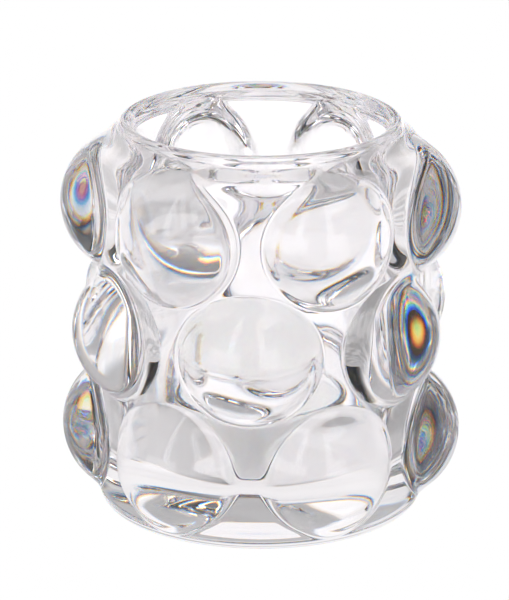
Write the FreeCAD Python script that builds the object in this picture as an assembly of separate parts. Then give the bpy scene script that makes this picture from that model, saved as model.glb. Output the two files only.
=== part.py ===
import FreeCAD, Part
import math
import os

# Tealight holder: one thick piece of pressed clear glass with three staggered rows of
# round bosses on the outside and a plain open cup inside, and the tealight it holds.
# Millimetres. +Z is up, the holder stands on z = 0, and its axis is the Z axis.
# A boss of the middle row faces -Y.

# Driving dimensions of the glass
height = 90.0
boss_peak_radius = 45.0
body_radius = 36.6
rim_radius = 31.6
rim_thickness = 2.9
lip_turn_deg = 12.0
lip_lead = 1.8
shoulder_height = 6.0
foot_radius = 31.2
foot_lead = 2.8
foot_height = 6.0
floor_height = 11.0
cavity_floor_radius = 27.6
cavity_corner_radius = 5.0
recess_radius = 25.0
recess_depth = 1.2

# Bosses: upright ellipsoids of revolution, nearly spheres, standing out of the wall
boss_half_width = 15.8
boss_half_height = 16.2
bosses_per_row = 6
row_heights = (18.0, 44.8, 70.4)
row_turns_deg = (30.0, 0.0, 30.0)
boss_fillet = 2.0

# Tealight: a standard 38 mm candle in a clear cup, standing on the floor of the cavity
cup_radius = 19.0
cup_height = 16.0
cup_wall = 0.8
cup_base = 0.9
cup_flange_width = 0.7
cup_flange_thickness = 0.8
cup_foot_radius = 1.2
seat_gap = 0.1
wax_depth = 12.5
wax_dish = 0.5
wick_radius = 0.8
wick_above_wax = 7.0
sustainer_radius = 6.5
sustainer_thickness = 0.3
sustainer_neck_radius = 1.5
sustainer_neck_height = 3.5
close_fit = 0.03

# Sizes that follow from those
boss_centre_radius = boss_peak_radius - boss_half_width
row_pitch_deg = 360.0 / bosses_per_row
rim_round = rim_thickness / 2.0
rim_crest_radius = rim_radius - rim_round
rim_inner_radius = rim_radius - rim_thickness
lip_turn = math.radians(lip_turn_deg)
lip_radius = rim_crest_radius + rim_round * math.cos(lip_turn)
lip_height = height - rim_round + rim_round * math.sin(lip_turn)
cup_bottom = floor_height + seat_gap
cup_inner_radius = cup_radius - cup_wall
wax_bottom = cup_bottom + cup_base + close_fit
wax_top = wax_bottom + wax_depth
wax_radius = cup_inner_radius - close_fit
sustainer_top = wax_bottom + sustainer_thickness
neck_top = sustainer_top + sustainer_neck_height
wick_bottom = sustainer_top + close_fit
wick_top = wax_top + wick_above_wax

ORIGIN = FreeCAD.Vector(0, 0, 0)
UP = FreeCAD.Vector(0, 0, 1)


def point(radius, z):
    return FreeCAD.Vector(radius, 0.0, z)


def line(start, end):
    return Part.LineSegment(point(*start), point(*end)).toShape()


def corner_arc(centre, radius, start_deg, end_deg):
    """An arc in the profile plane about a centre (radius, z), between two angles."""
    ends = []
    for angle in (start_deg, (start_deg + end_deg) / 2.0, end_deg):
        turn = math.radians(angle)
        ends.append(point(centre[0] + radius * math.cos(turn), centre[1] + radius * math.sin(turn)))
    return Part.Arc(*ends).toShape()


def revolve(edges):
    """A solid of revolution about the Z axis from a closed profile."""
    face = Part.Face(Part.Wire(edges))
    return Part.makeSolid(face.revolve(ORIGIN, UP, 360.0))


def polygon(corners):
    """Straight edges round a closed list of (radius, z) corners."""
    return [line(a, b) for a, b in zip(corners, corners[1:] + corners[:1])]


def side_curve():
    """The outer side, from the flat foot round the heel and over the shoulder to the round of the rim."""
    wall_top = height - shoulder_height
    curve = Part.BSplineCurve()
    curve.buildFromPoles([
        point(foot_radius, 0.0),
        point(foot_radius + foot_lead, 0.0),
        point(body_radius, foot_height * 0.4),
        point(body_radius, foot_height),
        point(body_radius, foot_height * 2.0),
        point(body_radius, height / 2.0),
        point(body_radius, wall_top - shoulder_height),
        point(body_radius, wall_top + shoulder_height * 0.3),
        point(lip_radius + lip_lead * math.sin(lip_turn), lip_height - lip_lead * math.cos(lip_turn)),
        point(lip_radius, lip_height),
    ])
    return curve.toShape()


def outer_body():
    """The holder without bosses or cavity; its seam lies at the back."""
    body = revolve([
        line((0, 0), (foot_radius, 0)),
        side_curve(),
        corner_arc((rim_crest_radius, height - rim_round), rim_round, lip_turn_deg, 90.0),
        line((rim_crest_radius, height), (0, height)),
        line((0, height), (0, 0)),
    ])
    body.rotate(ORIGIN, UP, 90.0)
    return body


def boss(turn_deg, z):
    """One upright ellipsoid; its poles are buried in the wall and its seam faces inwards."""
    ellipse = Part.Ellipse(point(0, boss_half_height), point(boss_half_width, 0), ORIGIN)
    half = Part.ArcOfEllipse(ellipse, -math.pi, 0.0).toShape()
    solid = revolve([half, line((0, -boss_half_height), (0, boss_half_height))])
    solid.translate(FreeCAD.Vector(boss_centre_radius, 0, z))
    solid.rotate(ORIGIN, UP, turn_deg - 90.0)
    return solid


def crease_edges(shape):
    """The edges where a boss meets the wall: closed loops longer than any seam piece."""
    shortest = 2.0 * boss_half_width
    edges = []
    for edge in shape.Edges:
        faces = shape.ancestorsOfType(edge, Part.Face)
        if len(faces) == 2 and isinstance(edge.Curve, Part.BSplineCurve) and edge.Length > shortest:
            edges.append(edge)
    return edges


def cavity():
    """The inside of the cup: drafted wall, rounded bottom corner, inner half of the rim round."""
    corner_z = floor_height + cavity_corner_radius
    corner_r = cavity_floor_radius - cavity_corner_radius
    lip_z = height - rim_round
    above = height + 5.0
    return revolve([
        line((0, floor_height), (corner_r, floor_height)),
        corner_arc((corner_r, corner_z), cavity_corner_radius, -90.0, 0.0),
        line((cavity_floor_radius, corner_z), (rim_inner_radius, lip_z)),
        corner_arc((rim_crest_radius, lip_z), rim_round, 180.0, 90.0),
        line((rim_crest_radius, height), (rim_crest_radius, above)),
        line((rim_crest_radius, above), (0, above)),
        line((0, above), (0, floor_height)),
    ])


def underside_recess():
    """A shallow dished hollow that leaves a flat standing ring."""
    dish_radius = (recess_radius ** 2 + recess_depth ** 2) / (2.0 * recess_depth)
    dish = Part.makeSphere(dish_radius)
    dish.translate(FreeCAD.Vector(0, 0, recess_depth - dish_radius))
    slab = Part.makeCylinder(recess_radius + 1.0, 2.0 * recess_depth)
    return dish.common(slab)


def glass_holder():
    bosses = []
    for z, first_turn in zip(row_heights, row_turns_deg):
        for index in range(bosses_per_row):
            bosses.append(boss(first_turn + index * row_pitch_deg, z))
    shape = outer_body().multiFuse(bosses)
    shape = shape.makeFillet(boss_fillet, crease_edges(shape))
    shape = shape.cut(cavity())
    shape = shape.cut(underside_recess())
    return shape.Solids[0]


def tealight_cup():
    """Clear cup with a rounded foot edge and a narrow flange turned out at the mouth."""
    top = cup_bottom + cup_height
    floor = cup_bottom + cup_base
    foot_flat = cup_radius - cup_foot_radius
    foot_z = cup_bottom + cup_foot_radius
    flange_z = top - cup_flange_thickness
    flange_radius = cup_radius + cup_flange_width
    flange_round = cup_flange_thickness / 2.0
    return revolve([
        line((0, cup_bottom), (foot_flat, cup_bottom)),
        corner_arc((foot_flat, foot_z), cup_foot_radius, -90.0, 0.0),
        line((cup_radius, foot_z), (cup_radius, flange_z)),
        line((cup_radius, flange_z), (flange_radius - flange_round, flange_z)),
        corner_arc((flange_radius - flange_round, flange_z + flange_round), flange_round, -90.0, 90.0),
        line((flange_radius - flange_round, top), (cup_inner_radius, top)),
        line((cup_inner_radius, top), (cup_inner_radius, floor)),
        line((cup_inner_radius, floor), (0, floor)),
        line((0, floor), (0, cup_bottom)),
    ])


def wax_fill():
    """Wax disc with a slightly dished top, cleared for the wick and its sustainer."""
    dish_radius = (wax_radius ** 2 + wax_dish ** 2) / (2.0 * wax_dish)
    wax = Part.makeCylinder(wax_radius, wax_depth + wax_dish)
    wax.translate(FreeCAD.Vector(0, 0, wax_bottom))
    dish = Part.makeSphere(dish_radius)
    dish.translate(FreeCAD.Vector(0, 0, wax_top + dish_radius))
    wax = wax.cut(dish)
    plate = Part.makeCylinder(sustainer_radius + close_fit, sustainer_thickness + close_fit)
    plate.translate(FreeCAD.Vector(0, 0, wax_bottom))
    neck = Part.makeCylinder(sustainer_neck_radius + close_fit, neck_top + close_fit - wax_bottom)
    neck.translate(FreeCAD.Vector(0, 0, wax_bottom))
    hole = Part.makeCylinder(wick_radius + close_fit, wax_depth + 2.0 * wax_dish)
    hole.translate(FreeCAD.Vector(0, 0, wax_bottom))
    return wax.cut(plate.multiFuse([neck, hole])).Solids[0]


def wick_sustainer():
    """Thin metal plate on the floor of the cup with a short crimped neck round the wick."""
    bore = wick_radius + close_fit
    neck_foot = sustainer_neck_radius + 0.6
    return revolve(polygon([
        (0, wax_bottom),
        (sustainer_radius, wax_bottom),
        (sustainer_radius, sustainer_top),
        (sustainer_neck_radius, sustainer_top),
        (sustainer_neck_radius, neck_top - 0.5),
        (sustainer_neck_radius - 0.3, neck_top),
        (bore, neck_top),
        (bore, sustainer_top),
        (0, sustainer_top),
    ]))


def wick():
    """Round braided wick standing in the sustainer, rounded at the tip."""
    stem_top = wick_top - wick_radius
    return revolve([
        line((0, wick_bottom), (wick_radius, wick_bottom)),
        line((wick_radius, wick_bottom), (wick_radius, stem_top)),
        corner_arc((0, stem_top), wick_radius, 0.0, 90.0),
        line((0, wick_top), (0, wick_bottom)),
    ])


def main():
    os.makedirs("parts", exist_ok=True)
    pieces = {
        "glass_holder": glass_holder(),
        "tealight_cup": tealight_cup(),
        "wax_fill": wax_fill(),
        "wick_sustainer": wick_sustainer(),
        "wick": wick(),
    }
    for name, shape in pieces.items():
        box = shape.BoundBox
        print(name, shape.ShapeType, shape.isValid(), round(shape.Volume, 1), round(box.XLength, 3),
              round(box.YLength, 3), round(box.ZMin, 3), round(box.ZMax, 3), len(shape.Faces))
        shape.exportStep("parts/" + name + ".step")


main()
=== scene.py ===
import math
import bpy
import numpy as np
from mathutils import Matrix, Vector


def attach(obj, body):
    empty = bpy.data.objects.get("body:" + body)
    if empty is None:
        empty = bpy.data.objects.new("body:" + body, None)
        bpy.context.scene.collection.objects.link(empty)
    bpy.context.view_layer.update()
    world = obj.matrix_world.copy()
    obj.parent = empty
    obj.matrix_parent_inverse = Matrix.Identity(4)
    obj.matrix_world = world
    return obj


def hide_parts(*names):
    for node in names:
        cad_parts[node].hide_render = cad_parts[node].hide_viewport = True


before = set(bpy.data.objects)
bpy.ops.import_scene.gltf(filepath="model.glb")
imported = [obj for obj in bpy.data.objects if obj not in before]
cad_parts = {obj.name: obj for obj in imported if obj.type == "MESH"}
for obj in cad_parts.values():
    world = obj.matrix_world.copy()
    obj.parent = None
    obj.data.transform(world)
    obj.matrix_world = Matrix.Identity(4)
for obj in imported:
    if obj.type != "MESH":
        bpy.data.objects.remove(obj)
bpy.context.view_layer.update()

MM = 0.001

# ---------------------------------------------------------------- sizes, in millimetres
HEIGHT = 90.0
BOSS_PEAK = 45.0
BODY_R = 36.6
RIM_R = 31.6
RIM_THICKNESS = 2.9
SHOULDER = 6.0
LIP_TURN = 12.0
LIP_LEAD = 1.8
HEEL_ROUND = 4.9
FLOOR_Z = 11.0
CAVITY_R = 27.6
CAVITY_CORNER = 5.0
RECESS_R = 25.0
RECESS_D = 1.2
BOSS_HALF_W = 15.8
BOSS_HALF_H = 16.2
BOSS_ROWS = ((18.0, 30.0), (44.8, 0.0), (70.4, 30.0))
CREASE_BLEND = 2.4
WAVE_OUTSIDE = 0.05
WAVE_INSIDE = 0.12
WAVE_ALLOWANCE = 0.06

CUP_BOTTOM = 11.1
CUP_R = 19.0
CUP_H = 16.0
CUP_WALL = 0.8
CUP_BASE = 0.9
CUP_FOOT = 1.2
FLANGE_W = 0.7
FLANGE_T = 0.8
WAX_BOTTOM = 12.03
WAX_DEPTH = 12.5
WAX_DISH = 0.5
WICK_R = 0.8
WICK_TOP = 31.53
SUSTAINER_R = 6.5
SUSTAINER_T = 0.3
SUSTAINER_NECK_R = 1.5
SUSTAINER_NECK_H = 3.5

RIM_ROUND = RIM_THICKNESS / 2.0
RIM_CREST = RIM_R - RIM_ROUND
BOSS_CENTRE = BOSS_PEAK - BOSS_HALF_W
CUP_INNER = CUP_R - CUP_WALL
WAX_R = CUP_INNER - 0.03
WAX_TOP = WAX_BOTTOM + WAX_DEPTH


# ---------------------------------------------------------------- mesh helpers
def smooth_max(a, b, width):
    """The larger of two radii, with the crease between them rounded over."""
    share = np.clip(0.5 + 0.5 * (a - b) / width, 0.0, 1.0)
    return b * (1.0 - share) + a * share + width * share * (1.0 - share)


def cubic_b_spline(poles, count):
    """Points along a clamped cubic B-spline with evenly spaced knots."""
    poles = np.array(poles, dtype=float)
    spans = len(poles) - 3
    knots = np.concatenate([[0.0] * 3, np.linspace(0.0, 1.0, spans + 1), [1.0] * 3])
    points = []
    for u in np.linspace(0.0, 1.0, count):
        k = min(int(u * spans), spans - 1) + 3
        d = [poles[j + k - 3].copy() for j in range(4)]
        for r in range(1, 4):
            for j in range(3, r - 1, -1):
                i = j + k - 3
                t = (u - knots[i]) / (knots[i + 4 - r] - knots[i])
                d[j] = (1.0 - t) * d[j - 1] + t * d[j]
        points.append(d[3])
    return np.array(points)


def evenly_spaced(points, count):
    """The same line with its points at equal steps along its length."""
    run = np.concatenate([[0.0], np.cumsum(np.hypot(*np.diff(points, axis=0).T))])
    even = np.linspace(0.0, run[-1], count)
    return np.stack([np.interp(even, run, points[:, 0]), np.interp(even, run, points[:, 1])], -1)


def arc_points(centre, radius, start_deg, end_deg, count):
    turns = np.radians(np.linspace(start_deg, end_deg, count))
    return np.stack([centre[0] + radius * np.cos(turns), centre[1] + radius * np.sin(turns)], -1)


def straight(start, end, count):
    t = np.linspace(0.0, 1.0, count)[:, None]
    return np.array(start) * (1.0 - t) + np.array(end) * t


def join(*runs):
    """One profile from several runs, without the doubled points where they meet."""
    points = [runs[0]]
    for run in runs[1:]:
        points.append(run[1:])
    return np.concatenate(points)


def make_object(name, verts, faces, smooth=True):
    mesh = bpy.data.meshes.new(name)
    mesh.from_pydata([tuple(v) for v in verts], [], faces)
    mesh.update()
    mesh.polygons.foreach_set("use_smooth", [smooth] * len(mesh.polygons))
    obj = bpy.data.objects.new(name, mesh)
    bpy.context.scene.collection.objects.link(obj)
    return obj


def lathe_object(name, profile, steps, shape=None):
    """A closed lathe. The profile runs from axis to axis; shape may move its points.

    shape(radius, z, theta) takes whole grids and gives new radius and z grids.
    """
    theta = np.linspace(0.0, 2.0 * math.pi, steps, endpoint=False)
    inner = profile[1:-1]
    radius = np.repeat(inner[:, :1], steps, axis=1)
    height = np.repeat(inner[:, 1:], steps, axis=1)
    turn = np.repeat(theta[None, :], len(inner), axis=0)
    if shape:
        radius, height = shape(radius, height, turn)
    grid = np.stack([radius * np.sin(turn), -radius * np.cos(turn), height], -1)
    verts = np.concatenate([grid.reshape(-1, 3), [[0, 0, profile[0][1]], [0, 0, profile[-1][1]]]]) * MM
    rows = len(inner)
    first_pole = rows * steps
    last_pole = first_pole + 1
    nxt = (np.arange(steps) + 1) % steps
    faces = []
    for row in range(rows - 1):
        low = row * steps
        high = low + steps
        for col in range(steps):
            faces.append((low + col, low + int(nxt[col]), high + int(nxt[col]), high + col))
    for col in range(steps):
        faces.append((first_pole, int(nxt[col]), col))
        faces.append((last_pole, (rows - 1) * steps + col, (rows - 1) * steps + int(nxt[col])))
    return make_object(name, verts, faces)


# ---------------------------------------------------------------- glass holder
def boss_radius(turn_deg, z_centre, z, theta):
    """Radial reach of one row of bosses at each height and angle."""
    pitch = 60.0
    off = (np.degrees(theta) - turn_deg + pitch / 2.0) % pitch - pitch / 2.0
    off = np.radians(off)
    ring = 1.0 - ((z - z_centre) / BOSS_HALF_H) ** 2
    half_width_squared = BOSS_HALF_W ** 2 * np.clip(ring, 0.0, None)
    under = half_width_squared - (BOSS_CENTRE * np.sin(off)) ** 2
    reach = BOSS_CENTRE * np.cos(off) + np.sqrt(np.clip(under, 0.0, None))
    return np.where(under > 0.0, reach, 0.0)


def ripple(theta, z, amount, seed):
    """Slow waviness of hand-finished pressed glass; amount sets its height in millimetres."""
    rng = np.random.default_rng(seed)
    total = np.zeros_like(z)
    for turns in (2, 3, 4, 5, 7, 9, 11):
        phase_a, phase_b = rng.uniform(0.0, 2.0 * math.pi, 2)
        waves = rng.uniform(0.6, 2.6)
        total += np.sin(turns * theta + phase_a) * np.sin(waves * z / 14.0 + phase_b) / math.sqrt(turns)
    return amount * total / 2.0


def glass_side():
    """The outer side, from the heel up over the shoulder to the round of the rim."""
    wall_top = HEIGHT - SHOULDER
    turn = math.radians(LIP_TURN)
    lip_r = RIM_CREST + RIM_ROUND * math.cos(turn)
    lip_z = HEIGHT - RIM_ROUND + RIM_ROUND * math.sin(turn)
    poles = [
        (BODY_R, HEEL_ROUND),
        (BODY_R, HEIGHT * 0.25),
        (BODY_R, HEIGHT / 2.0),
        (BODY_R, wall_top - SHOULDER),
        (BODY_R, wall_top + SHOULDER * 0.3),
        (lip_r + LIP_LEAD * math.sin(turn), lip_z - LIP_LEAD * math.cos(turn)),
        (lip_r, lip_z),
    ]
    return evenly_spaced(cubic_b_spline(poles, 1200), 290)


def glass_profile():
    """The holder's profile, and where in it the outer side starts and ends and the inside starts."""
    dish_r = (RECESS_R ** 2 + RECESS_D ** 2) / (2.0 * RECESS_D)
    dish_half = math.degrees(math.asin(RECESS_R / dish_r))
    dish = arc_points((0.0, RECESS_D - dish_r), dish_r, 90.0, 90.0 - dish_half, 24)
    foot_r = BODY_R - HEEL_ROUND
    ring = straight((RECESS_R, 0.0), (foot_r, 0.0), 8)
    heel = arc_points((foot_r, HEEL_ROUND), HEEL_ROUND, -90.0, 0.0, 26)
    side = glass_side()
    rim = arc_points((RIM_CREST, HEIGHT - RIM_ROUND), RIM_ROUND, LIP_TURN, 180.0, 20)
    corner_z = FLOOR_Z + CAVITY_CORNER
    inside = straight((RIM_R - RIM_THICKNESS, HEIGHT - RIM_ROUND), (CAVITY_R, corner_z), 80)
    corner = arc_points((CAVITY_R - CAVITY_CORNER, corner_z), CAVITY_CORNER, 0.0, -90.0, 16)
    floor = straight((CAVITY_R - CAVITY_CORNER, FLOOR_Z), (0.0, FLOOR_Z), 24)
    limits = (
        len(join(dish, ring)) - 1,
        len(join(dish, ring, heel, side)) - 1,
        len(join(dish, ring, heel, side, rim)) - 1,
    )
    return join(dish, ring, heel, side, rim, inside, corner, floor), limits


def glass_holder():
    profile, (outer_start, outer_end, inner_start) = glass_profile()

    def shape(radius, z, theta):
        outer = slice(outer_start, outer_end)
        for z_centre, turn in BOSS_ROWS:
            reach = boss_radius(turn, z_centre, z[outer], theta[outer])
            radius[outer] = smooth_max(reach, radius[outer], CREASE_BLEND)
        fade = np.clip((HEIGHT - 3.0 - z[outer]) / 6.0, 0.0, 1.0) * np.clip(z[outer] / 6.0, 0.0, 1.0)
        radius[outer] -= fade * (WAVE_ALLOWANCE + ripple(theta[outer], z[outer], WAVE_OUTSIDE, 3))
        inner = slice(inner_start, None)
        below_rim = np.clip((HEIGHT - 2.0 - z[inner]) / 12.0, 0.0, 1.0)
        near_wall = np.clip(radius[inner] / CAVITY_R, 0.0, 1.0) ** 4
        radius[inner] += below_rim * near_wall * ripple(theta[inner], z[inner], WAVE_INSIDE, 8)
        return radius, z

    return lathe_object("glass_body", profile, 720, shape)


# ---------------------------------------------------------------- tealight
def tealight_cup():
    """Clear cup: dished base with a standing ring, rounded foot, flange turned out at the mouth."""
    top = CUP_BOTTOM + CUP_H
    floor = CUP_BOTTOM + CUP_BASE
    foot_flat = CUP_R - CUP_FOOT
    flange_z = top - FLANGE_T
    flange_in = CUP_R + FLANGE_W - FLANGE_T / 2.0
    dish_z = CUP_BOTTOM + 0.3
    dish_r = 14.5
    ring_r = 15.5
    mouth_round = 0.25
    corner = 0.8
    profile = join(
        straight((0.0, dish_z), (dish_r, dish_z), 12),
        straight((dish_r, dish_z), (ring_r, CUP_BOTTOM), 4),
        straight((ring_r, CUP_BOTTOM), (foot_flat, CUP_BOTTOM), 4),
        arc_points((foot_flat, CUP_BOTTOM + CUP_FOOT), CUP_FOOT, -90.0, 0.0, 9),
        straight((CUP_R, CUP_BOTTOM + CUP_FOOT), (CUP_R, flange_z), 24),
        straight((CUP_R, flange_z), (flange_in, flange_z), 3),
        arc_points((flange_in, flange_z + FLANGE_T / 2.0), FLANGE_T / 2.0, -90.0, 90.0, 11),
        straight((flange_in, top), (CUP_INNER + mouth_round, top), 5),
        arc_points((CUP_INNER + mouth_round, top - mouth_round), mouth_round, 90.0, 180.0, 5),
        straight((CUP_INNER, top - mouth_round), (CUP_INNER, floor + corner), 20),
        arc_points((CUP_INNER - corner, floor + corner), corner, 0.0, -90.0, 7),
        straight((CUP_INNER - corner, floor), (0.0, floor), 14),
    )
    return lathe_object("tealight_shell", profile, 192)


def wax_fill():
    """Poured wax: dished top that climbs the wall and the wick, faintly uneven."""
    corner = 0.8
    bottom = WAX_BOTTOM + 0.02
    radii = np.concatenate([np.linspace(WAX_R, WAX_R - 2.0, 12), np.linspace(WAX_R - 2.2, 0.0, 46)])
    heights = (
        WAX_TOP
        + WAX_DISH * 0.6 * (radii / WAX_R) ** 2
        + WAX_DISH * 0.9 * np.exp(-(WAX_R - radii) / 0.6)
        + 0.7 * np.exp(-np.clip(radii - WICK_R, 0.0, None) / 0.6)
    )
    profile = join(
        straight((0.0, bottom), (WAX_R - corner, bottom), 10),
        arc_points((WAX_R - corner, bottom + corner), corner, -90.0, 0.0, 7),
        straight((WAX_R, bottom + corner), (WAX_R, heights[0]), 16),
        np.stack([radii, heights], -1),
    )

    def shape(radius, z, theta):
        upper = z > WAX_TOP - 0.5
        fade = np.clip((WAX_R - radius) / 3.0, 0.0, 1.0)
        across = radius * np.sin(theta)
        along = radius * np.cos(theta)
        dents = np.sin(across * 0.55 + 1.0) * np.sin(along * 0.45 + 2.0)
        dents += 0.5 * np.sin(across * 1.1 + along * 0.8)
        return radius, z + np.where(upper, 0.07 * fade * dents, 0.0)

    return lathe_object("wax_disc", profile, 144, shape)


def wick_ring(strand, t, z, sides):
    """One ring of points round a strand, at height z and share t of the wick's length."""
    strand_r = 0.42
    offset = WICK_R - strand_r
    twist_pitch = 4.2
    turn = 2.0 * math.pi * (z / twist_pitch + strand / 3.0)
    tip = min(1.0, (1.0 - t) * 26.0 + 0.12)
    size = strand_r * math.sqrt(tip) * (1.0 + 0.06 * math.sin(9.0 * z + strand))
    ring = []
    for side in range(sides):
        angle = 2.0 * math.pi * side / sides
        x = offset * math.cos(turn) + size * math.cos(angle)
        y = offset * math.sin(turn) + size * math.sin(angle)
        ring.append((x * MM, y * MM, (z - 0.25 * (1.0 - tip)) * MM))
    return ring


def wick():
    """Three twisted strands of slightly uneven yarn, rounded at the tip."""
    bottom = WAX_BOTTOM + SUSTAINER_T + 0.05
    sides = 14
    rows = 150
    verts = []
    faces = []
    for strand in range(3):
        base = len(verts)
        for row in range(rows):
            t = row / (rows - 1)
            verts.extend(wick_ring(strand, t, bottom + t * (WICK_TOP - bottom), sides))
        for row in range(rows - 1):
            low = base + row * sides
            for side in range(sides):
                nxt = (side + 1) % sides
                faces.append((low + side, low + nxt, low + sides + nxt, low + sides + side))
        faces.append(tuple(base + side for side in reversed(range(sides))))
        faces.append(tuple(base + (rows - 1) * sides + side for side in range(sides)))
    return make_object("wick_braid", verts, faces)


def wick_sustainer():
    """Stamped plate with a raised bead and a neck crimped in four places."""
    bottom = WAX_BOTTOM
    plate = bottom + SUSTAINER_T
    neck = plate + SUSTAINER_NECK_H
    bore = WICK_R + 0.05
    edge = SUSTAINER_T / 2.0
    foot_round = 0.5
    lip_round = 0.3
    profile = join(
        straight((0.0, bottom), (SUSTAINER_R - 0.1, bottom), 12),
        arc_points((SUSTAINER_R - edge, bottom + edge), edge, -90.0, 90.0, 7),
        straight((SUSTAINER_R - edge, plate), (SUSTAINER_NECK_R + foot_round, plate), 26),
        arc_points((SUSTAINER_NECK_R + foot_round, plate + foot_round), foot_round, -90.0, -180.0, 6),
        straight((SUSTAINER_NECK_R, plate + foot_round), (SUSTAINER_NECK_R, neck - lip_round), 16),
        arc_points((SUSTAINER_NECK_R - lip_round, neck - lip_round), lip_round, 0.0, 90.0, 5),
        straight((SUSTAINER_NECK_R - lip_round, neck), (bore, neck), 3),
        straight((bore, neck), (bore, plate), 16),
        straight((bore, plate), (0.0, plate), 4),
    )

    def shape(radius, z, theta):
        bead = 0.12 * np.exp(-((radius - 4.6) / 0.45) ** 2) * (z > bottom + 0.2)
        on_neck = (radius > bore + 0.1) & (radius < SUSTAINER_NECK_R + 0.1) & (z > plate + 0.8)
        height_share = np.exp(-((z - (plate + 2.0)) / 0.7) ** 2)
        crimp = 0.28 * np.clip(np.cos(4.0 * theta), 0.0, 1.0) ** 4 * height_share
        return radius - np.where(on_neck, crimp, 0.0), z + bead

    return lathe_object("wick_plate", profile, 96, shape)


# ---------------------------------------------------------------- node helpers
class Nodes:
    """Short calls for building one node tree."""

    def __init__(self, tree):
        self.tree = tree
        tree.nodes.clear()

    def add(self, kind, **values):
        node = self.tree.nodes.new(kind)
        for key, value in values.items():
            setattr(node, key, value)
        return node

    def link(self, source, target):
        self.tree.links.new(source, target)

    def put(self, target, value):
        """Set a socket to a number, or link it to another socket."""
        if isinstance(value, bpy.types.NodeSocket):
            self.link(value, target)
        elif value is not None:
            target.default_value = value

    def math(self, operation, a, b=None, c=None, clamp=False):
        node = self.add("ShaderNodeMath", operation=operation, use_clamp=clamp)
        for socket, value in zip(node.inputs, (a, b, c)):
            self.put(socket, value)
        return node.outputs[0]

    def step(self, value, low, high):
        """Smooth step from 0 at low to 1 at high."""
        node = self.add("ShaderNodeMapRange", interpolation_type="SMOOTHSTEP", clamp=True)
        self.put(node.inputs["Value"], value)
        node.inputs["From Min"].default_value = low
        node.inputs["From Max"].default_value = high
        return node.outputs["Result"]

    def object_coords(self):
        return self.add("ShaderNodeTexCoord").outputs["Object"]

    def noise(self, vector, scale, detail=2.0, roughness=0.5):
        node = self.add("ShaderNodeTexNoise")
        self.put(node.inputs["Vector"], vector)
        node.inputs["Scale"].default_value = scale
        node.inputs["Detail"].default_value = detail
        node.inputs["Roughness"].default_value = roughness
        return node.outputs["Fac"]

    def bump(self, height, strength, distance):
        node = self.add("ShaderNodeBump")
        node.inputs["Strength"].default_value = strength
        node.inputs["Distance"].default_value = distance
        self.link(height, node.inputs["Height"])
        return node.outputs["Normal"]

    def two_tone(self, value, low, low_colour, high, high_colour):
        """A colour that runs from one tone at low to another at high."""
        node = self.add("ShaderNodeValToRGB")
        first, last = node.color_ramp.elements
        first.position = low
        first.color = (*low_colour, 1.0)
        last.position = high
        last.color = (*high_colour, 1.0)
        self.link(value, node.inputs["Fac"])
        return node.outputs["Color"]

    def mix_shader(self, factor, a, b):
        node = self.add("ShaderNodeMixShader")
        self.put(node.inputs[0], factor)
        self.link(a, node.inputs[1])
        self.link(b, node.inputs[2])
        return node.outputs[0]


def new_material(name):
    material = bpy.data.materials.new(name)
    material.use_nodes = True
    return material, Nodes(material.node_tree)


def finish_material(material, nodes, surface):
    output = nodes.add("ShaderNodeOutputMaterial")
    nodes.link(surface, output.inputs["Surface"])
    return material


# ---------------------------------------------------------------- materials
# Colour bands and their refractive indices. Together the bands make white.
SPECTRUM = (
    ((2.3, 0.1, 0.0), 1.509),
    ((2.0, 1.0, 0.0), 1.513),
    ((1.2, 2.0, 0.3), 1.517),
    ((0.4, 1.8, 1.0), 1.522),
    ((0.1, 0.9, 2.2), 1.527),
    ((0.0, 0.2, 2.5), 1.532),
)


def let_light_in(n, surface, share):
    """Let lamp light and light scattered by the wax and wick go straight through a clear surface."""
    path = n.add("ShaderNodeLightPath")
    for kind in ("Is Diffuse Ray", "Is Shadow Ray"):
        see_through = n.add("ShaderNodeBsdfTransparent")
        see_through.inputs[0].default_value = (share, share, share, 1.0)
        surface = n.mix_shader(path.outputs[kind], surface, see_through.outputs[0])
    return surface


def clear_glass():
    material, n = new_material("clear_glass")
    coords = n.object_coords()
    path = n.add("ShaderNodeLightPath")
    normal = n.bump(n.noise(coords, 260.0), strength=0.03, distance=0.0001)

    def glass(colour, ior):
        node = n.add("ShaderNodeBsdfGlass")
        node.inputs["Color"].default_value = (*colour, 1.0)
        node.inputs["IOR"].default_value = ior
        node.inputs["Roughness"].default_value = 0.0
        n.link(normal, node.inputs["Normal"])
        return node.outputs[0]

    plain = glass((0.992, 0.988, 0.991), 1.52)
    split = glass(*SPECTRUM[0])
    for count, (colour, ior) in enumerate(SPECTRUM[1:], start=2):
        split = n.mix_shader(1.0 / count, split, glass(colour, ior))
    surface = n.mix_shader(path.outputs["Is Camera Ray"], plain, split)
    return finish_material(material, n, let_light_in(n, surface, 0.97))


def clear_plastic():
    """Thin moulded polycarbonate: clear, with faint flow ripples and fine scuffs."""
    material, n = new_material("clear_plastic")
    coords = n.object_coords()
    shader = n.add("ShaderNodeBsdfPrincipled")
    shader.inputs["Base Color"].default_value = (0.97, 0.975, 0.98, 1.0)
    shader.inputs["Transmission Weight"].default_value = 1.0
    shader.inputs["IOR"].default_value = 1.5
    scuff = n.step(n.noise(coords, 900.0, detail=3.0, roughness=0.7), 0.58, 0.75)
    n.link(n.math("MULTIPLY_ADD", scuff, 0.12, 0.03), shader.inputs["Roughness"])
    ripples = n.noise(coords, 160.0)
    n.link(n.bump(ripples, strength=0.1, distance=0.0003), shader.inputs["Normal"])
    return finish_material(material, n, let_light_in(n, shader.outputs[0], 0.97))


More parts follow.
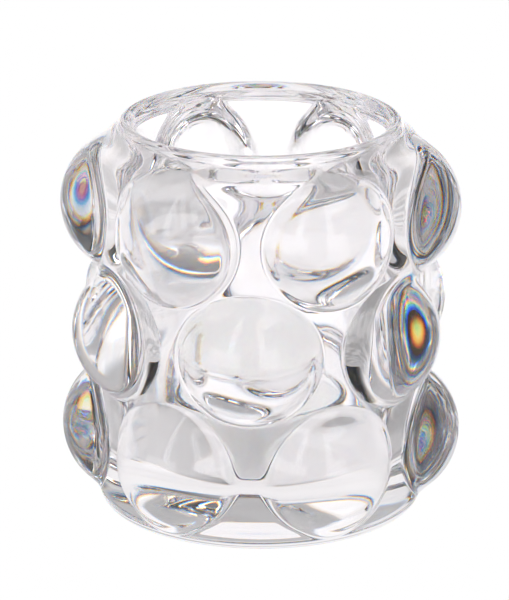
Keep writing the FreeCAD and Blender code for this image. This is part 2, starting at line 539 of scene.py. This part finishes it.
def white_wax():
    """Translucent paraffin with faint frosting and slow mottling."""
    material, n = new_material("white_wax")
    coords = n.object_coords()
    shader = n.add("ShaderNodeBsdfPrincipled")
    mottle = n.noise(coords, 220.0, detail=4.0, roughness=0.6)
    colour = n.two_tone(mottle, 0.3, (0.89, 0.882, 0.878), 0.7, (0.94, 0.932, 0.928))
    n.link(colour, shader.inputs["Base Color"])
    shader.inputs["Subsurface Weight"].default_value = 0.5
    shader.inputs["Subsurface Radius"].default_value = (1.0, 0.85, 0.7)
    shader.inputs["Subsurface Scale"].default_value = 0.003
    n.link(n.math("MULTIPLY_ADD", mottle, 0.25, 0.3), shader.inputs["Roughness"])
    frosting = n.noise(coords, 900.0, detail=5.0, roughness=0.65)
    n.link(n.bump(frosting, strength=0.25, distance=0.0002), shader.inputs["Normal"])
    return finish_material(material, n, shader.outputs[0])


def tinned_steel():
    """Thin stamped sheet with fine rolling lines and darker smudges."""
    material, n = new_material("tinned_steel")
    coords = n.object_coords()
    stretch = n.add("ShaderNodeMapping")
    n.link(coords, stretch.inputs["Vector"])
    stretch.inputs["Scale"].default_value = (0.15, 4.0, 1.0)
    lines = n.noise(stretch.outputs[0], 2500.0, detail=3.0, roughness=0.6)
    smudge = n.noise(coords, 350.0, detail=3.0, roughness=0.6)
    shader = n.add("ShaderNodeBsdfPrincipled")
    colour = n.two_tone(smudge, 0.3, (0.5, 0.5, 0.49), 0.65, (0.74, 0.74, 0.72))
    n.link(colour, shader.inputs["Base Color"])
    shader.inputs["Metallic"].default_value = 1.0
    n.link(n.math("MULTIPLY_ADD", lines, 0.25, 0.2), shader.inputs["Roughness"])
    n.link(n.bump(lines, strength=0.2, distance=0.00005), shader.inputs["Normal"])
    return finish_material(material, n, shader.outputs[0])


def cotton_wick():
    """Waxed cotton yarn: fine slanted fibres, matte, with painted shade that makes the hollows darker
    and warmer.
    """
    material, n = new_material("cotton_wick")
    coords = n.object_coords()
    slant = n.add("ShaderNodeMapping")
    n.link(coords, slant.inputs["Vector"])
    slant.inputs["Rotation"].default_value = (0.5, 0.3, 0.0)
    slant.inputs["Scale"].default_value = (6.0, 6.0, 0.8)
    fibre = n.noise(slant.outputs[0], 1500.0, detail=3.0, roughness=0.6)
    shader = n.add("ShaderNodeBsdfPrincipled")
    # Painted shade: the colour follows the bump's height, so the hollows of the yarn are darker and
    # warmer.
    colour = n.two_tone(fibre, 0.3, (0.62, 0.58, 0.5), 0.7, (0.9, 0.88, 0.82))
    n.link(colour, shader.inputs["Base Color"])
    shader.inputs["Roughness"].default_value = 0.75
    shader.inputs["Sheen Weight"].default_value = 0.3
    n.link(n.bump(fibre, strength=0.6, distance=0.00008), shader.inputs["Normal"])
    return finish_material(material, n, shader.outputs[0])


# ---------------------------------------------------------------- studio
CAMERA_AZIMUTH = 4.0
CAMERA_ELEVATION = 18.1
CAMERA_DISTANCE = 1.1
AIM = (-0.00137, 0.0, 0.0473)
VIEW_HEIGHT = 0.135
SENSOR = 36.0


def build_camera():
    data = bpy.data.cameras.new("camera")
    data.sensor_fit = "VERTICAL"
    data.sensor_height = SENSOR
    data.lens = SENSOR * CAMERA_DISTANCE / VIEW_HEIGHT
    data.clip_end = 20.0
    camera = bpy.data.objects.new("camera", data)
    azimuth = math.radians(CAMERA_AZIMUTH)
    elevation = math.radians(CAMERA_ELEVATION)
    back = Vector((
        math.sin(azimuth) * math.cos(elevation),
        -math.cos(azimuth) * math.cos(elevation),
        math.sin(elevation),
    ))
    camera.location = Vector(AIM) + back * CAMERA_DISTANCE
    camera.rotation_euler = back.to_track_quat("Z", "Y").to_euler()
    bpy.context.scene.collection.objects.link(camera)
    bpy.context.scene.camera = camera


def heading(n, x, y):
    """Azimuth in degrees: 0 in front of the holder, on the side of the camera, growing to the right."""
    return n.math("MULTIPLY", n.math("ARCTAN2", x, n.math("MULTIPLY", y, -1.0)), 180.0 / math.pi)


def window(n, value, low, high, soft):
    """1 between low and high, falling smoothly to 0 over twice the softness."""
    up = n.step(value, low - soft, low + soft)
    down = n.step(value, high - soft, high + soft)
    return n.math("SUBTRACT", up, down)


def blend_level(n, level, share, target):
    """Move a brightness towards a target by a share from 0 to 1."""
    change = n.math("SUBTRACT", target, level)
    return n.math("MULTIPLY_ADD", change, share, level)


def tinted(n, level, tint):
    colour = n.add("ShaderNodeCombineColor")
    for socket, factor in zip(colour.inputs, tint):
        n.put(socket, n.math("MULTIPLY", level, factor))
    return colour.outputs[0]


# How bright each part of the studio is, as the glass sees it
FRONT = 0.06
SIDES = 0.02
WALL_LOW = 0.95
WALL_MIDDLE = 0.52
WALL_HIGH = 0.2
OVERHEAD = 0.05
SOFT_FILL = 1.04

# How bright each part of the table is, as the glass sees it
TABLE_FRONT = 0.12
TABLE_SIDES = 0.72
TABLE_REAR = 0.9
TABLE_BACK = 1.14
TABLE_RIGHT = 0.5
TABLE_UNDER = 0.93
TABLE_GAIN = 1.1
SHADE_CLOUD_DEPTH = 0.34
NEAR_SHADE = 0.9

# The low boxes also spill onto the table: azimuth limits in degrees, and brightness
LOW_LEFT = (-66.0, -14.0)
LOW_RIGHT = (17.0, 50.0)
LOW_BOX = 1.9

# Light boxes and strips round the table: name, azimuth and elevation limits in degrees, softness
# of the edges, brightness. The strips show only in the gloss of a surface, not through the glass.
BOXES = (
    ("low left box", *LOW_LEFT, -5.0, 13.0, 3.0, LOW_BOX),
    ("low right box", *LOW_RIGHT, -5.0, 17.0, 3.0, LOW_BOX),
    ("high left box", -35.0, -18.0, 41.0, 52.0, 3.0, 1.0),
    ("high right box", 30.0, 88.0, 49.0, 69.0, 3.0, 2.0),
    ("back left panel", -146.0, -116.0, 6.0, 34.0, 4.0, 0.85),
)
STRIPS = (
    ("left strip", -36.0, -24.0, -5.0, 74.0, 2.0, 2.2),
    ("right strip", 17.0, 29.0, -5.0, 64.0, 2.0, 2.0),
)


def add_lights(n, level, lights, azimuth, elevation, seen_by=1.0):
    for _, az_low, az_high, el_low, el_high, soft, bright in lights:
        share = n.math(
            "MULTIPLY",
            window(n, azimuth, az_low, az_high, soft),
            window(n, elevation, el_low, el_high, soft),
        )
        level = blend_level(n, level, n.math("MULTIPLY", share, seen_by), bright)
    return level


def studio_level(n, azimuth, elevation):
    """Brightness of the studio: dark in front and at the sides, a white wall behind, light boxes."""
    turn = n.math("ABSOLUTE", azimuth)
    wall = blend_level(n, WALL_LOW, n.step(elevation, 6.0, 14.0), WALL_MIDDLE)
    wall = blend_level(n, wall, n.step(elevation, 40.0, 55.0), WALL_HIGH)
    level = blend_level(n, FRONT, n.step(turn, 45.0, 70.0), SIDES)
    level = blend_level(n, level, n.step(turn, 108.0, 130.0), wall)
    level = blend_level(n, level, n.step(elevation, 66.0, 76.0), OVERHEAD)
    return add_lights(n, level, BOXES, azimuth, elevation)


def build_world():
    """The studio as the glass sees it, even soft light for the rest, and plain white for the camera."""
    world = bpy.data.worlds.new("studio")
    world.use_nodes = True
    bpy.context.scene.world = world
    n = Nodes(world.node_tree)
    direction = n.add("ShaderNodeTexCoord").outputs["Generated"]
    split = n.add("ShaderNodeSeparateXYZ")
    n.link(direction, split.inputs[0])
    x, y, z = split.outputs
    azimuth = heading(n, x, y)
    elevation = n.math("MULTIPLY", n.math("ARCSINE", z), 180.0 / math.pi)
    path = n.add("ShaderNodeLightPath")
    glossy = path.outputs["Is Glossy Ray"]
    refracted = path.outputs["Is Transmission Ray"]
    mirrored = n.math("SUBTRACT", glossy, refracted, clamp=True)
    level = studio_level(n, azimuth, elevation)
    level = add_lights(n, level, STRIPS, azimuth, elevation, mirrored)
    mirror_like = n.math("MAXIMUM", glossy, refracted)
    level = blend_level(n, SOFT_FILL, mirror_like, level)
    studio = n.add("ShaderNodeBackground")
    n.link(tinted(n, level, (1.0, 0.985, 1.0)), studio.inputs["Color"])
    backdrop = n.add("ShaderNodeBackground")
    backdrop.inputs["Color"].default_value = (1.0, 1.0, 1.0, 1.0)
    surface = n.mix_shader(path.outputs["Is Camera Ray"], studio.outputs[0], backdrop.outputs[0])
    output = n.add("ShaderNodeOutputWorld")
    n.link(surface, output.inputs["Surface"])


def table_level(n):
    """Brightness of the table: dark in front, pale at the sides and behind, bright by the low boxes.

    Distances from the holder's axis are in metres.
    """
    coords = n.object_coords()
    split = n.add("ShaderNodeSeparateXYZ")
    n.link(coords, split.inputs[0])
    x, y, _ = split.outputs
    reach = n.math("SQRT", n.math("ADD", n.math("MULTIPLY", x, x), n.math("MULTIPLY", y, y)))
    azimuth = heading(n, x, y)
    turn = n.math("ABSOLUTE", azimuth)
    level = blend_level(n, TABLE_FRONT, n.step(turn, 22.0, 52.0), TABLE_SIDES)
    level = blend_level(n, level, n.step(turn, 110.0, 135.0), TABLE_REAR)
    level = blend_level(n, level, window(n, azimuth, 72.0, 125.0, 8.0), TABLE_RIGHT)
    side = n.math("SUBTRACT", 1.0, n.step(turn, 140.0, 160.0))
    # Painted shade: soft darker patches in the table's glow everywhere except behind the holder; the
    # rest is lifted by TABLE_GAIN.
    shade_cloud = n.math("MULTIPLY", n.step(n.noise(coords, 16.0), 0.42, 0.58), side)
    level = n.math("MULTIPLY", level, n.math("MULTIPLY_ADD", shade_cloud, -SHADE_CLOUD_DEPTH, TABLE_GAIN))
    level = blend_level(n, level, n.step(turn, 152.0, 168.0), TABLE_BACK)
    away = n.step(reach, 0.06, 0.12)
    level = n.math("MULTIPLY", level, n.math("MULTIPLY_ADD", away, 1.0 - NEAR_SHADE, NEAR_SHADE))
    spill_right = n.math("MULTIPLY", window(n, azimuth, *LOW_RIGHT, 4.0), n.step(reach, 0.2, 0.3))
    level = blend_level(n, level, spill_right, LOW_BOX)
    spill_left = n.math("MULTIPLY", window(n, azimuth, *LOW_LEFT, 4.0), n.step(reach, 0.25, 0.4))
    level = blend_level(n, level, spill_left, LOW_BOX)
    return blend_level(n, TABLE_UNDER, n.step(reach, 0.036, 0.044), level)


def build_floor():
    """A pale table: white where the camera sees it, shaded in front as the holder sees it."""
    corners = [(-6, -6, 0), (6, -6, 0), (6, 6, 0), (-6, 6, 0)]
    floor = make_object("floor", corners, [(0, 1, 2, 3)], smooth=False)
    material, n = new_material("white_table")
    glow = n.add("ShaderNodeEmission")
    n.link(tinted(n, table_level(n), (1.0, 0.98, 0.995)), glow.inputs["Color"])
    seen = n.add("ShaderNodeEmission")
    seen.inputs["Color"].default_value = (1.0, 1.0, 1.0, 1.0)
    path = n.add("ShaderNodeLightPath")
    surface = n.mix_shader(path.outputs["Is Camera Ray"], glow.outputs[0], seen.outputs[0])
    floor.data.materials.append(finish_material(material, n, surface))


def set_render_look():
    scene = bpy.context.scene
    scene.view_settings.view_transform = "Standard"
    scene.cycles.max_bounces = 40
    scene.cycles.transmission_bounces = 36
    scene.cycles.glossy_bounces = 16
    scene.cycles.transparent_max_bounces = 24
    scene.cycles.caustics_reflective = False
    scene.cycles.caustics_refractive = False
    scene.cycles.use_denoising = True
    scene.cycles.denoising_input_passes = "RGB"


# ---------------------------------------------------------------- assembly
def place(piece, body, node, material):
    piece.data.materials.append(material)
    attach(piece, body)
    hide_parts(node)


def main():
    place(glass_holder(), "holder", "glass_holder", clear_glass())
    place(tealight_cup(), "tealight", "tealight_cup", clear_plastic())
    place(wax_fill(), "tealight", "wax_fill", white_wax())
    place(wick_sustainer(), "tealight", "wick_sustainer", tinned_steel())
    place(wick(), "tealight", "wick", cotton_wick())
    build_camera()
    build_world()
    build_floor()
    set_render_look()


main()
